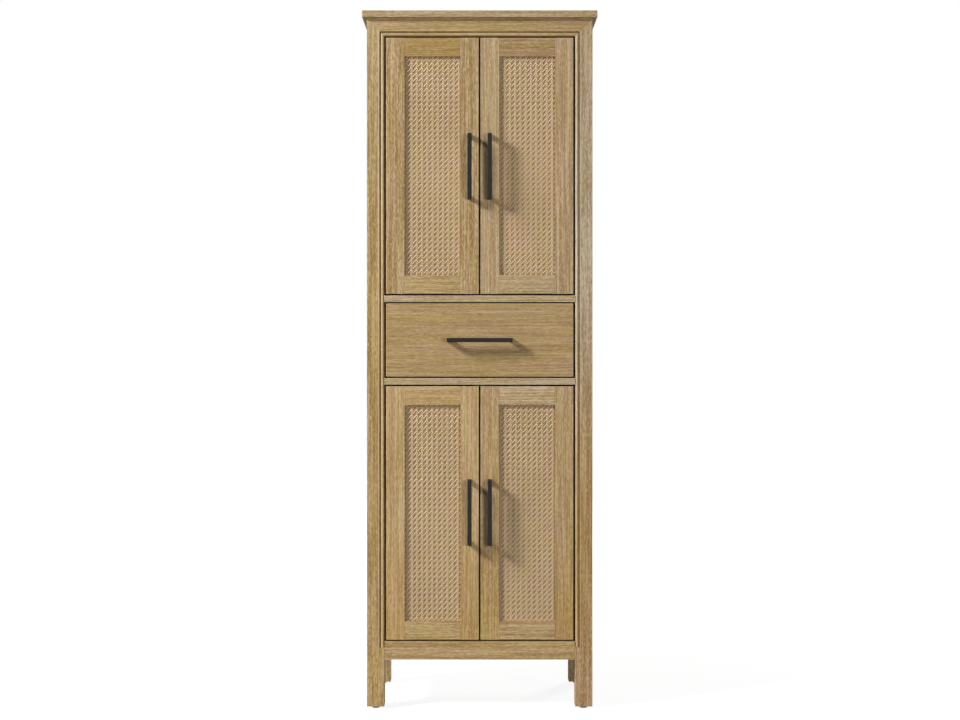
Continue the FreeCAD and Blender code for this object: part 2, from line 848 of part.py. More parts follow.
pair("slide_outers", make_channel(("outer_web", "opening"), ("flange_tips", "opening"), "slide_height / 2"))
pair("slide_middles", make_channel(("middle_web", "middle_web + slide_sheet"),
                                   ("flange_tips", "middle_web + slide_sheet"),
                                   "slide_height / 2 - slide_sheet - slide_gap"))
pair("slide_inners", make_channel(("drawer_outer", "drawer_outer + slide_sheet"),
                                  ("drawer_outer", "middle_web - slide_gap"),
                                  "slide_height / 2 - 2 * slide_sheet - 2 * slide_gap"))


# Stops that hold the closed doors flush with the face
def make_stop(low, high):
    return plain(both("stop_width / 2"), ("door_back + stop_gap", "door_back + stop_gap + stop_depth"),
                 (low, high))


def make_hung_stop(under, seat):
    """Fixed behind a rail, up to its seat, with a lip under the rail that the doors meet."""
    body = plain(both("stop_width / 2"), ("face_back", "door_back + stop_gap + stop_depth"),
                 (f"{under} - stop_height", seat))
    block(body, both("stop_width / 2"), ("door_back + stop_gap", "face_back"),
          (f"{under} - stop_height", under))
    return body


group("door_stops", [
    make_stop("apron_top", "apron_top + stop_height"),
    make_hung_stop("lower_top", "drawer_floor - deck_thickness"),
    make_stop("upper_floor", "upper_floor + stop_height"),
    make_hung_stop("upper_top", "upper_top + stop_height"),
])


# Levelling glides: a pad on a threaded stem in an insert in each leg
def make_glide(y):
    body = make_body("Glide")
    rod(body, "z", ("glide_x", y, "0"), "glide_radius", "glide_height - glide_gap")
    rod(body, "z", ("glide_x", y, "0"), "stem_radius", "glide_height + stem_length")
    return body


def make_insert(y):
    body = make_body("Insert")
    rod(body, "z", ("glide_x", y, "glide_height"), "insert_radius", "insert_length")
    rod(body, "z", ("glide_x", y, "glide_height - overrun"), "stem_radius + running_clearance",
        "insert_length + 2 * overrun", cut=True)
    return body


inserts = []
for end, y in (("front", "glide_front_y"), ("rear", "glide_back_y")):
    glide = make_glide(y)
    keep(glide, f"{end}_right_glide")
    keep(mirrored(glide), f"{end}_left_glide")
    insert = make_insert(y)
    inserts += [insert, mirrored(insert)]
group("leg_inserts", inserts)

doc.recompute()

for thing in doc.Objects:
    if {"Invalid", "Error"} & set(thing.State):
        raise ValueError(f"{thing.Label} did not recompute: {thing.State}")
for node in nodes:
    if node.Shape.isNull() or not node.Shape.isValid():
        raise ValueError(f"{node.Label} has no valid shape")

os.makedirs("parts", exist_ok=True)
for node in nodes:
    node.Shape.exportStep(os.path.join("parts", f"{node.Label}.step"))
    print(f"{node.Label}: {len(node.Shape.Solids)} solid(s), {node.Shape.Volume:.0f} mm3")
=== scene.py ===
import math
import random

import bmesh
import bpy
from mathutils import Euler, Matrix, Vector


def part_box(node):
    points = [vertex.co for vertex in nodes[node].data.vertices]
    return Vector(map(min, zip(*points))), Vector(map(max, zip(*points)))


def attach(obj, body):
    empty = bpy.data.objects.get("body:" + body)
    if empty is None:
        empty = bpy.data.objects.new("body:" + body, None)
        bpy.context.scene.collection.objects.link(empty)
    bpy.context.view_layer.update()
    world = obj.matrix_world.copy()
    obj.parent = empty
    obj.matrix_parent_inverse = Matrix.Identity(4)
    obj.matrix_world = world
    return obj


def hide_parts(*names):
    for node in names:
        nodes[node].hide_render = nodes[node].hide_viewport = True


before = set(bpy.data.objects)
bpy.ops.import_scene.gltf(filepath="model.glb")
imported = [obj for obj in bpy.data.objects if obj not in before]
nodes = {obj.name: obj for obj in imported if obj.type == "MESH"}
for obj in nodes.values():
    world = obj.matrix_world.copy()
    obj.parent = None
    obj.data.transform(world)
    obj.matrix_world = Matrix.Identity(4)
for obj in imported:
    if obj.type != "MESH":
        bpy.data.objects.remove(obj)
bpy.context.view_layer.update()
print("solids loaded:", len(nodes))


# shader node helpers

noiseReach = (0.3, 0.7)  # where most of a noise's values lie


def feed(tree, socket, value):
    if isinstance(value, bpy.types.NodeSocket):
        tree.links.new(value, socket)
    elif value is not None:
        socket.default_value = value


def mathNode(tree, operation, *values):
    node = tree.nodes.new("ShaderNodeMath")
    node.operation = operation
    for socket, value in zip(node.inputs, values):
        feed(tree, socket, value)
    return node.outputs[0]


def vectorNode(tree, operation, *values):
    node = tree.nodes.new("ShaderNodeVectorMath")
    node.operation = operation
    for socket, value in zip(node.inputs, values):
        feed(tree, socket, value)
    return node.outputs[0]


def rangeNode(tree, value, low, high, start=0.0, end=1.0):
    node = tree.nodes.new("ShaderNodeMapRange")
    node.interpolation_type = "SMOOTHSTEP"
    for socket, given in zip(node.inputs, (value, low, high, start, end)):
        feed(tree, socket, given)
    return node.outputs[0]


def splitNode(tree, vector):
    node = tree.nodes.new("ShaderNodeSeparateXYZ")
    tree.links.new(vector, node.inputs[0])
    return node.outputs


def sumNode(tree, total, *parts):
    # the total plus each value times its weight
    for value, weight in parts:
        total = mathNode(tree, "MULTIPLY_ADD", value, weight, total)
    return total


def mixNode(tree, share, first, second, blend="MIX"):
    node = tree.nodes.new("ShaderNodeMix")
    node.data_type = "RGBA"
    node.blend_type = blend
    feed(tree, node.inputs["Factor"], share)
    feed(tree, node.inputs[6], first)  # colour A
    feed(tree, node.inputs[7], second)  # colour B
    return node.outputs[2]


def mapped(tree, vector, scale=(1, 1, 1), turn=(0, 0, 0), shift=(0, 0, 0)):
    node = tree.nodes.new("ShaderNodeMapping")
    feed(tree, node.inputs["Vector"], vector)
    node.inputs["Location"].default_value = shift
    node.inputs["Rotation"].default_value = turn
    node.inputs["Scale"].default_value = scale
    return node.outputs[0]


def noise(tree, vector, scale, detail=2.0, roughness=0.5):
    node = tree.nodes.new("ShaderNodeTexNoise")
    feed(tree, node.inputs["Vector"], vector)
    node.inputs["Scale"].default_value = scale
    node.inputs["Detail"].default_value = detail
    node.inputs["Roughness"].default_value = roughness
    return node.outputs[0]


def colour(red, green, blue):
    # from the 0 to 255 of a picture to what a shader socket takes
    return tuple(((c / 255 + 0.055) / 1.055) ** 2.4 for c in (red, green, blue)) + (1.0,)


def newGroup(name, takes, gives):
    tree = bpy.data.node_groups.new(name, "ShaderNodeTree")
    for label, kind in takes:
        tree.interface.new_socket(label, in_out="INPUT", socket_type="NodeSocket" + kind)
    for label, kind in gives:
        tree.interface.new_socket(label, in_out="OUTPUT", socket_type="NodeSocket" + kind)
    return tree, tree.nodes.new("NodeGroupInput").outputs, tree.nodes.new("NodeGroupOutput").inputs


def placeGroup(tree, group, **values):
    node = tree.nodes.new("ShaderNodeGroup")
    node.node_tree = group
    for label, value in values.items():
        feed(tree, node.inputs[label], value)
    return node.outputs


def newMaterial(name):
    material = bpy.data.materials.new(name)
    material.use_nodes = True
    tree = material.node_tree
    place = tree.nodes.new("ShaderNodeTexCoord").outputs["Object"]
    return material, tree, tree.nodes["Principled BSDF"], place


def bump(tree, shader, height, depth):
    node = tree.nodes.new("ShaderNodeBump")
    node.inputs["Distance"].default_value = depth
    feed(tree, node.inputs["Height"], height)
    tree.links.new(node.outputs[0], shader.inputs["Normal"])


# shared effects

def makeArrisGroup():
    # distance to the nearest arris of a board, or of either of two boards that mirror each other
    tree, given, out = newGroup("arris", [("Vector", "Vector"), ("Centre", "Vector"), ("Inner", "Vector"),
                                          ("Outer", "Vector"), ("Shift", "Vector")],
                                [("Distance", "Float"), ("Board", "Vector"), ("Ends", "Float")])
    offset = vectorNode(tree, "SUBTRACT", given["Vector"], given["Centre"])
    folded = vectorNode(tree, "ABSOLUTE", offset)
    toOuter = vectorNode(tree, "ABSOLUTE", vectorNode(tree, "SUBTRACT", given["Outer"], folded))
    toInner = vectorNode(tree, "ABSOLUTE", vectorNode(tree, "SUBTRACT", folded, given["Inner"]))
    x, y, z = splitNode(tree, vectorNode(tree, "MINIMUM", toOuter, toInner))
    middle = mathNode(tree, "MAXIMUM", mathNode(tree, "MINIMUM", x, y),
                      mathNode(tree, "MINIMUM", mathNode(tree, "MAXIMUM", x, y), z))
    tree.links.new(middle, out["Distance"])
    tree.links.new(splitNode(tree, toOuter)[0], out["Ends"])
    side = vectorNode(tree, "MULTIPLY", vectorNode(tree, "SIGN", offset), given["Shift"])
    tree.links.new(vectorNode(tree, "ADD", given["Vector"], side), out["Board"])
    return tree


wearPatches = {"scale": 35, "reach": (0.35, 1.25)}  # least and most share of the width that is rubbed


def makeWearGroup(look):
    # 1 on a rubbed arris, falling to 0 over the width, broken up along its length
    tree, given, out = newGroup("edgeWear", [("Vector", "Vector"), ("Distance", "Float"), ("Width", "Float")],
                                [("Mask", "Float")])
    ragged = rangeNode(tree, noise(tree, given["Vector"], look["scale"], 3), *noiseReach, *look["reach"])
    reach = mathNode(tree, "MULTIPLY", given["Width"], ragged)
    near = mathNode(tree, "SUBTRACT", 1.0, mathNode(tree, "DIVIDE", given["Distance"], reach))
    tree.links.new(mathNode(tree, "MAXIMUM", near, 0.0), out["Mask"])
    return tree


# painted light and shade on the bead: a painted highlight on its crest and on the arris beside the quirk,
# painted shade in the quirk
beadLook = {
    "quirk": (0.0105, 0.0018),  # each band's middle, measured from the opening's edge, and its reach
    "crest": (0.0045, 0.0034),
    "arris": (0.0134, 0.0016),
    "mitre": (0.0008, 0.0022),  # half the joint's width, and where it has faded
    "mitreGlaze": 0.12,
    "highlightAndShade": {  # how strong the painted highlight on the crest and arris, and the painted shade in the quirk, are on each board
        "front_post_left": (0.42, 0.5),
        "front_post_right": (0.42, 0.15),
        "front_top_rail": (0.1, 0.35),
    },
    "shift": (0.0009, 0.0, -0.0012),  # of the painted highlight and shade on the bead
    "place": {"Edge": 0.248, "Top": 1.747, "Stop": 0.16, "Back": -0.158},
}


def makeBeadGroup(look):
    # the bead round the door opening: painted shade in its quirk, a painted highlight on its crest and arris,
    # the mitre's joint
    tree, given, out = newGroup("beadMarks", [("Vector", "Vector"), ("Edge", "Float"), ("Top", "Float"),
                                              ("Stop", "Float"), ("Back", "Float")],
                                [("Quirk", "Float"), ("Crest", "Float"), ("Mitre", "Float")])
    x, y, z = splitNode(tree, given["Vector"])
    beside = mathNode(tree, "SUBTRACT", mathNode(tree, "ABSOLUTE", x), given["Edge"])
    above = mathNode(tree, "SUBTRACT", z, given["Top"])
    away = mathNode(tree, "MAXIMUM", beside, above)
    shown = mathNode(tree, "MULTIPLY", mathNode(tree, "LESS_THAN", y, given["Back"]),
                     mathNode(tree, "GREATER_THAN", z, given["Stop"]))

    def band(middle, reach):
        off = mathNode(tree, "ABSOLUTE", mathNode(tree, "SUBTRACT", away, middle))
        return mathNode(tree, "MULTIPLY", shown, rangeNode(tree, off, reach / 2, reach, 1.0, 0.0))

    tree.links.new(band(*look["quirk"]), out["Quirk"])
    tree.links.new(mathNode(tree, "MAXIMUM", band(*look["crest"]), band(*look["arris"])), out["Crest"])
    offMitre = mathNode(tree, "ABSOLUTE", mathNode(tree, "SUBTRACT", beside, above))
    tree.links.new(rangeNode(tree, offMitre, *look["mitre"], 1.0, 0.0), out["Mitre"])
    return tree


def makeMottleGroup(broad=9, fine=900):
    # two sizes of soft cloud, for handling marks and uneven coats
    tree, given, out = newGroup("mottle", [("Vector", "Vector")], [("Broad", "Float"), ("Fine", "Float")])
    tree.links.new(rangeNode(tree, noise(tree, given["Vector"], broad, 3), *noiseReach), out["Broad"])
    tree.links.new(noise(tree, given["Vector"], fine, 2, 0.6), out["Fine"])
    return tree


oakGrain = {
    "sway": (6, 6, 1.6),  # how often the grain leans aside, and how far
    "swing": (0.007, 0.007, 0),
    "layers": {  # how often each repeats across, across and along the grain, its shift, its noise's detail
        "drift": ((80, 80, 5), (0, 0, 0), 2),
        "figure": ((70, 70, 2.2), (3.1, 1.7, 0.4), 3),
        "streak": ((250, 250, 5), (7.3, 2.9, 1.1), 2),
        "dash": ((450, 450, 90), (2.7, 8.1, 6.5), 1),
        "fibre": ((1300, 1300, 30), (0, 0, 0), 2, 0.6),
        "pores": ((1000, 1000, 60), (1.9, 4.1, 2.3), 1),
        "lime": ((620, 620, 34), (5.9, 0.7, 3.3), 2),
    },
    "drift": (0.36, 0.64),  # from yellow to pink
    "driftShare": 0.7,
    "marks": (  # layer, tone, where in the noise it starts and ends, its share there, brought out by brushing
        ("figure", "Dark", (0.34, 0.52), (0.2, 0.0), False),
        ("figure", "Pale", (0.5, 0.68), (0.0, 0.15), False),
        ("streak", "Dark", (0.36, 0.52), (0.56, 0.0), True),
        ("streak", "Pale", (0.5, 0.66), (0.0, 0.5), True),
        ("dash", "Dark", (0.34, 0.48), (0.48, 0.0), True),
        ("dash", "Pale", (0.54, 0.68), (0.0, 0.44), True),
        ("fibre", "Dark", (0.35, 0.65), (0.25, 0.0), False),
        ("lime", "Pale", (0.56, 0.7), (0.0, 0.35), False),
        ("pores", "Dark", (0.6, 0.72), (0.0, 0.5), False),
    ),
    "pores": (0.6, 0.72),
    "roughness": (0.52, 0.2, 0.12),  # of the wood, added by the fibre, added by the pores
    "height": (1.4, -0.9),  # of the dashes and the pores, beside the fibre's
}


def makeOakGroup(look):
    # grain along Z, from broad drifts of tone down to pores that show only close to
    tree, given, out = newGroup("oakGrain", [("Vector", "Vector"), ("Dark", "Color"), ("Body", "Color"),
                                             ("Pale", "Color"), ("Yellow", "Color"), ("Pink", "Color"),
                                             ("Brushing", "Float"), ("Tint", "Float")],
                                [("Color", "Color"), ("Roughness", "Float"), ("Height", "Float")])
    sway = tree.nodes.new("ShaderNodeTexNoise")
    feed(tree, sway.inputs["Vector"], mapped(tree, given["Vector"], look["sway"]))
    sway.inputs["Scale"].default_value = 1
    swing = vectorNode(tree, "SUBTRACT", sway.outputs["Color"], (0.5, 0.5, 0.5))
    place = vectorNode(tree, "ADD", given["Vector"], vectorNode(tree, "MULTIPLY", swing, look["swing"]))
    layers = {}
    for name, (stretch, shift, *grit) in look["layers"].items():
        layers[name] = noise(tree, mapped(tree, place, stretch, shift=shift), 1, *grit)
    hue = mathNode(tree, "ADD", rangeNode(tree, layers["drift"], *look["drift"]), given["Tint"])
    drift = mixNode(tree, hue, given["Yellow"], given["Pink"])
    tone = mixNode(tree, look["driftShare"], given["Body"], drift)
    for name, mark, reach, shares, brushed in look["marks"]:
        share = rangeNode(tree, layers[name], *reach, *shares)
        if brushed:
            share = mathNode(tree, "MULTIPLY", given["Brushing"], share)
        tone = mixNode(tree, share, tone, given[mark])
    tree.links.new(tone, out["Color"])
    pores = rangeNode(tree, layers["pores"], *look["pores"])
    base, fibreRough, poreRough = look["roughness"]
    rough = sumNode(tree, base, (layers["fibre"], fibreRough), (pores, poreRough))
    tree.links.new(rough, out["Roughness"])
    dashHeight, poreHeight = look["height"]
    height = sumNode(tree, layers["fibre"], (layers["dash"], dashHeight), (pores, poreHeight))
    tree.links.new(height, out["Height"])
    return tree


arrisGroup = makeArrisGroup()
wearGroup = makeWearGroup(wearPatches)
beadGroup = makeBeadGroup(beadLook)
mottleGroup = makeMottleGroup()
oakGroup = makeOakGroup(oakGrain)
print("shared effects ready:", len(bpy.data.node_groups))


# oak boards: each node gets its own cut of the timber, with the grain along the board

oakLook = {
    "dark": colour(136, 104, 62),
    "body": colour(176, 147, 102),
    "pale": colour(210, 186, 144),
    "yellow": colour(176, 150, 88),
    "pink": colour(182, 146, 116),
    # worn arrises, and the painted highlight on the bead
    "wearAndHighlight": colour(214, 195, 160),
    # dark joints, and the painted shade in the bead's quirk
    "glazeAndShade": colour(100, 73, 36),
    "wearWidth": 0.0022,
    "wearShare": 0.4,
    "relief": 0.0002,
    "gloss": 0.12,
}

boardLook = {
    "dark": colour(150, 120, 80),
    "body": colour(186, 158, 116),
    "pale": colour(206, 182, 142),
    "yellow": colour(186, 160, 112),
    "pink": colour(188, 158, 122),
    "wearAndHighlight": colour(196, 172, 130),
    "glazeAndShade": colour(120, 94, 60),
    "wearWidth": 0.001,
    "wearShare": 0.3,
    "relief": 0.00005,
    "gloss": 0.12,
}

grainTurns = {"up": (0, 0, 0), "across": (0, math.pi / 2, 0), "deep": (math.pi / 2, 0, 0)}
toneLift = (1.04, 1.065, 1.1)  # the wood has little gloss, so its tones are written a touch paler
pairedGrain = {
    "thickest": 0.03,  # boards of a pair up to this thickness are rubbed on their inner arris too
    "shift": 0.83,  # sets the grain of the two apart
}
noArris = -9.0  # far from any board
cutSpread = 4  # how far from the middle of the timber a board's grain is cut, either way


def shaded(tone, share):
    return [part * lift * share for part, lift in zip(tone, toneLift)] + [1.0]


def makeTimber(name, node, look, grain, paired, seed, brushing=1.0, tint=0.0, shade=1.0, seam=None):
    low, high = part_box(node)
    half = (high - low) / 2
    inner = [half[i] - paired[i] if 0 < paired[i] < pairedGrain["thickest"] else noArris for i in range(3)]
    material, tree, shader, place = newMaterial(name)
    arris = placeGroup(tree, arrisGroup, Vector=place, Centre=(low + high) / 2, Inner=inner, Outer=half,
                       Shift=[pairedGrain["shift"] if paired[i] else 0.0 for i in range(3)])
    rolls = random.Random(seed)
    shift = [rolls.uniform(-cutSpread, cutSpread) for _ in range(3)]
    cut = mapped(tree, arris["Board"], turn=grainTurns[grain], shift=shift)
    tones = {part.title(): shaded(look[part], shade) for part in ("dark", "body", "pale", "yellow", "pink")}
    oak = placeGroup(tree, oakGroup, Vector=cut, Brushing=brushing, Tint=tint, **tones)
    wear = placeGroup(tree, wearGroup, Vector=place, Distance=arris["Distance"], Width=look["wearWidth"])
    rubbed = mathNode(tree, "MULTIPLY", wear["Mask"], look["wearShare"])
    tone = mixNode(tree, rubbed, oak["Color"], look["wearAndHighlight"])
    if seam is not None:  # glaze in the joint where the board meets its neighbour
        fromEnd, reach, strength = seam
        off = mathNode(tree, "ABSOLUTE", mathNode(tree, "SUBTRACT", arris["Ends"], fromEnd))
        tone = mixNode(tree, rangeNode(tree, off, 0.0, reach, strength, 0.0), tone, look["glazeAndShade"])
    if node in beadLook["highlightAndShade"]:
        crestHighlight, glazeAndShade = beadLook["highlightAndShade"][node]
        beadPlace = vectorNode(tree, "ADD", place, beadLook["shift"])
        marks = placeGroup(tree, beadGroup, Vector=beadPlace, **beadLook["place"])
        # painted highlight on the bead's crest and on the arris beside its quirk
        tone = mixNode(tree, mathNode(tree, "MULTIPLY", marks["Crest"], crestHighlight), tone, look["wearAndHighlight"])
        # painted shade in the bead's quirk
        tone = mixNode(tree, mathNode(tree, "MULTIPLY", marks["Quirk"], glazeAndShade), tone, look["glazeAndShade"])
        mitre = mathNode(tree, "MULTIPLY", marks["Mitre"], beadLook["mitreGlaze"])
        tone = mixNode(tree, mitre, tone, look["glazeAndShade"])
    if node in toneAndLightByHeight:  # the board's own tone, with painted light and shade changing up its height
        height = splitNode(tree, place)[2]
        boardToneAndLight, *above = toneAndLightByHeight[node]
        for start, end, share in above:
            boardToneAndLight = mixNode(tree, rangeNode(tree, height, start, end), boardToneAndLight, (*share, 1.0))
        tone = mixNode(tree, 1.0, tone, boardToneAndLight, "MULTIPLY")
    tree.links.new(tone, shader.inputs["Base Color"])
    tree.links.new(oak["Roughness"], shader.inputs["Roughness"])
    shader.inputs["Specular IOR Level"].default_value = look["gloss"]
    bump(tree, shader, oak["Height"], look["relief"])
    return material


def dress(node, material):
    slots = nodes[node].material_slots
    if not slots:
        nodes[node].data.materials.append(material)
    for slot in slots:
        slot.material = material


postSize, doorFrame, railHeight, sideRail, thinBoard = 0.045, 0.048, 0.017, 0.02, 0.012
oakBoards = {  # which way the grain runs, and how thick the boards are that one node holds as a pair
    "front_post_left": ("up", (0, 0, 0)),
    "front_post_right": ("up", (0, 0, 0)),
    "rear_posts": ("up", (postSize, 0, 0)),
    "top_board": ("across", (0, 0, 0)),
    "front_top_rail": ("across", (0, 0, 0)),
    "front_apron": ("across", (0, 0, 0)),
    "mid_rails": ("across", (0, 0, railHeight)),
    "side_rails": ("deep", (sideRail, 0, 0)),
    "side_panels": ("up", (thinBoard, 0, 0)),
    "drawer_front": ("across", (0, 0, 0)),
}
insideBoards = {
    "rear_rails": ("across", (0, 0, 0)),
    "back_panel": ("up", (0, 0, 0)),
    "shelves": ("across", (0, 0, 0)),
    "decks": ("across", (0, 0, 0)),
    "side_packers": ("deep", (0, 0, 0)),
    "drawer_sides": ("deep", (thinBoard, 0, 0)),
    "drawer_ends": ("across", (0, thinBoard, 0)),
    "drawer_bottom": ("across", (0, 0, 0)),
}
doorNames = [f"{level}_{side}" for level in ("lower", "upper") for side in ("left", "right")]
for door in doorNames:
    oakBoards[door + "_stiles"] = ("up", (doorFrame, 0, 0))
    oakBoards[door + "_rails"] = ("across", (0, 0, doorFrame))
toneAndLightByHeight = {  # each board's tone, with painted light and shade up it: what the tone is multiplied by at the foot, then the heights over which it changes, and to what
    "front_post_left": (
        (1.1, 1.05, 0.89, 1), (0.1, 0.42, (1.02, 0.99, 0.85)), (1.1, 1.5, (1.03, 1.07, 1.07))),
    "front_post_right": (
        (1.11, 1.07, 1.07, 1), (0.08, 0.3, (0.98, 0.92, 0.76)), (0.45, 1.2, (1.05, 1.2, 1.47)),
        (1.45, 1.7, (1.0, 1.08, 1.22))),
    "top_board": ((0.98, 1.05, 1.07, 1),),
    "mid_rails": ((0.95, 1.03, 1.17, 1),),
    "upper_right_stiles": ((0.98, 1.03, 1.1, 1),),
    "lower_left_stiles": ((1.0, 0.97, 0.8, 1), (0.25, 0.5, (1.02, 1.04, 1.02))),
    "lower_right_stiles": ((0.98, 0.95, 0.76, 1), (0.25, 0.5, (1.0, 1.01, 1.04))),
    "upper_left_rails": ((1.09, 1.08, 1.12, 1), (1.2, 1.6, (0.96, 0.91, 0.78))),
    "upper_right_rails": ((1.12, 1.18, 1.36, 1), (1.2, 1.6, (0.94, 0.91, 0.9))),
    "lower_right_rails": ((0.94, 0.94, 0.95, 1), (0.4, 0.7, (1.0, 1.06, 1.3))),
}
seams = {"front_apron": (0.0, 0.0026, 0.75)}  # place from the end, reach, strength
seams.update({door + "_rails": (0.0075, 0.0016, 0.3) for door in doorNames})
cuts = {  # brushing, tint and shade of each board, as the boards of one cabinet differ
    "front_post_left": (1.15, 0.0, 0.93),
    "front_post_right": (1.15, 0.35, 0.97),
    "rear_posts": (1.2, 0.1, 0.95),
    "top_board": (1.0, 0.4, 0.96),
    "front_top_rail": (0.75, -0.15, 0.98),
    "front_apron": (0.9, -0.2, 1.1),
    "mid_rails": (0.8, 0.0, 1.07),
    "drawer_front": (0.62, -0.25, 0.95),
    "lower_left_stiles": (0.75, 0.1, 1.11),
    "lower_right_stiles": (0.9, 0.0, 1.05),
    "upper_left_stiles": (1.3, -0.1, 0.97),
    "upper_right_stiles": (0.95, 0.2, 1.04),
    "lower_left_rails": (0.9, -0.3, 1.11),
    "lower_right_rails": (0.95, -0.2, 1.12),
    "upper_left_rails": (0.9, -0.9, 0.92),
    "upper_right_rails": (0.9, -0.1, 0.93),
}
plainCut = (1.1, 0.0, 1.0)  # of the boards that aren't listed
insideSeed = 100
for seed, (node, (grain, paired)) in enumerate(oakBoards.items()):
    brushing, tint, shade = cuts.get(node, plainCut)
    dress(node, makeTimber("limedOak_" + node, node, oakLook, grain, paired, seed, brushing, tint, shade,
                           seams.get(node)))
for seed, (node, (grain, paired)) in enumerate(insideBoards.items()):
    dress(node, makeTimber("carcassBoard_" + node, node, boardLook, grain, paired, insideSeed + seed))
print("oak boards dressed:", len(oakBoards), "outside,", len(insideBoards), "inside")


# board behind the cane

backingLook = {
    "body": colour(176, 147, 108),
    "dark": colour(150, 121, 84),
    "streaks": (300, 300, 9),
    "streakTone": (0.35, 0.65),
    "clouds": 0.3,
    "roughness": (0.6, 0.75),
    "relief": 0.0001,
}


def makeBackingMaterial(look):
    material, tree, shader, place = newMaterial("caneBacking")
    mottle = placeGroup(tree, mottleGroup, Vector=place)
    streaks = noise(tree, mapped(tree, place, look["streaks"]), 1, 3)
    tone = mixNode(tree, rangeNode(tree, streaks, *look["streakTone"]), look["dark"], look["body"])
    clouds = mathNode(tree, "MULTIPLY", mottle["Broad"], look["clouds"])
    tree.links.new(mixNode(tree, clouds, tone, look["dark"]), shader.inputs["Base Color"])
    rough = rangeNode(tree, mottle["Fine"], *noiseReach, *look["roughness"])
    tree.links.new(rough, shader.inputs["Roughness"])
    bump(tree, shader, streaks, look["relief"])
    return material


backing = makeBackingMaterial(backingLook)
for door in doorNames:
    dress(door + "_backing_panel", backing)


# metal and plastic

pullLook = {
    "body": colour(29, 27, 26),
    "rubbed": colour(66, 61, 54),
    "wearWidth": 0.0016,
    "wearShare": 0.4,
    "clouds": 0.15,
    "gloss": 0.15,
    "roughness": (0.42, 0.6),
    "speckle": 0.00006,
}


def makePullMaterial(name, node, look):
    low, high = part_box(node)
    material, tree, shader, place = newMaterial(name)
    arris = placeGroup(tree, arrisGroup, Vector=place, Centre=(low + high) / 2, Inner=[noArris] * 3,
                       Outer=(high - low) / 2, Shift=(0, 0, 0))
    wear = placeGroup(tree, wearGroup, Vector=place, Distance=arris["Distance"], Width=look["wearWidth"])
    mottle = placeGroup(tree, mottleGroup, Vector=place)
    clouds = mathNode(tree, "MULTIPLY", mottle["Broad"], look["clouds"])
    rubbed = mathNode(tree, "MULTIPLY", wear["Mask"], look["wearShare"])
    coat = mixNode(tree, clouds, look["body"], look["rubbed"])
    tree.links.new(mixNode(tree, rubbed, coat, look["rubbed"]), shader.inputs["Base Color"])
    shader.inputs["Specular IOR Level"].default_value = look["gloss"]
    rough = rangeNode(tree, mottle["Fine"], *noiseReach, *look["roughness"])
    tree.links.new(rough, shader.inputs["Roughness"])
    bump(tree, shader, mottle["Fine"], look["speckle"])
    return material


for node in [door + "_pull" for door in doorNames] + ["drawer_pull"]:
    dress(node, makePullMaterial("blackPull_" + node, node, pullLook))

zincLook = {
    "bright": (0.66, 0.66, 0.64, 1),
    "dull": (0.46, 0.46, 0.45, 1),
    "rolling": (500, 60, 500),
    "roughness": (0.26, 0.46),
    "relief": 0.00003,
}
shadedGapSteelLook = {  # painted shade: hinges and slides are given a near-black steel so they show as dark as the shaded gaps they sit behind
    "bright": (0.07, 0.067, 0.064, 1),
    "dull": (0.04, 0.038, 0.036, 1),
    "rolling": (500, 60, 500),
    "roughness": (0.36, 0.54),
    "relief": 0.00003,
}


def makeSteelMaterial(name, look):
    material, tree, shader, place = newMaterial(name)
    mottle = placeGroup(tree, mottleGroup, Vector=place)
    rolled = noise(tree, mapped(tree, place, look["rolling"]), 1, 3)
    tree.links.new(mixNode(tree, mottle["Broad"], look["bright"], look["dull"]), shader.inputs["Base Color"])
    tree.links.new(rangeNode(tree, rolled, *noiseReach, *look["roughness"]), shader.inputs["Roughness"])
    shader.inputs["Metallic"].default_value = 1.0
    bump(tree, shader, rolled, look["relief"])
    return material


zinc = makeSteelMaterial("zincSteel", zincLook)
shadedGapSteel = makeSteelMaterial("shadedGapSteelMaterial", shadedGapSteelLook)
for node in ["shelf_pins", "leg_inserts", "drawer_screws"] + [door + "_fixings" for door in doorNames]:
    dress(node, zinc)
slideNames = ["slide_outers", "slide_middles", "slide_inners"]
for node in ["hinge_arms", "hinge_plates"] + slideNames + [door + "_hinge_cups" for door in doorNames]:
    dress(node, shadedGapSteel)

# painted shade: the door stops are coloured near-black so they show as dark as the shaded gap they sit in
stopLook = {
    "light": colour(58, 50, 41),
    "dark": colour(42, 36, 29),
    "scuffs": (60, 60, 380),
    "scuffTone": (0.56, 0.7),
    "roughness": (0.55, 0.7),
    "relief": 0.00004,
}
glideLook = {
    "light": colour(92, 88, 82),
    "dark": colour(58, 55, 50),
    "scuffs": (60, 60, 380),
    "scuffTone": (0.56, 0.7),
    "roughness": (0.5, 0.68),
    "relief": 0.00004,
}


def makePlasticMaterial(name, look):
    material, tree, shader, place = newMaterial(name)
    mottle = placeGroup(tree, mottleGroup, Vector=place)
    scuffs = rangeNode(tree, noise(tree, mapped(tree, place, look["scuffs"]), 1, 3), *look["scuffTone"])
    tree.links.new(mixNode(tree, scuffs, look["dark"], look["light"]), shader.inputs["Base Color"])
    rough = rangeNode(tree, mottle["Fine"], *noiseReach, *look["roughness"])
    tree.links.new(rough, shader.inputs["Roughness"])
    bump(tree, shader, mottle["Fine"], look["relief"])
    return material


dress("door_stops", makePlasticMaterial("stopPlastic", stopLook))
glide = makePlasticMaterial("glidePlastic", glideLook)
for corner in ("front_left", "front_right", "rear_left", "rear_right"):
    dress(corner + "_glide", glide)
print("metal and plastic dressed")


# woven cane: pairs up and across, one strand on each diagonal

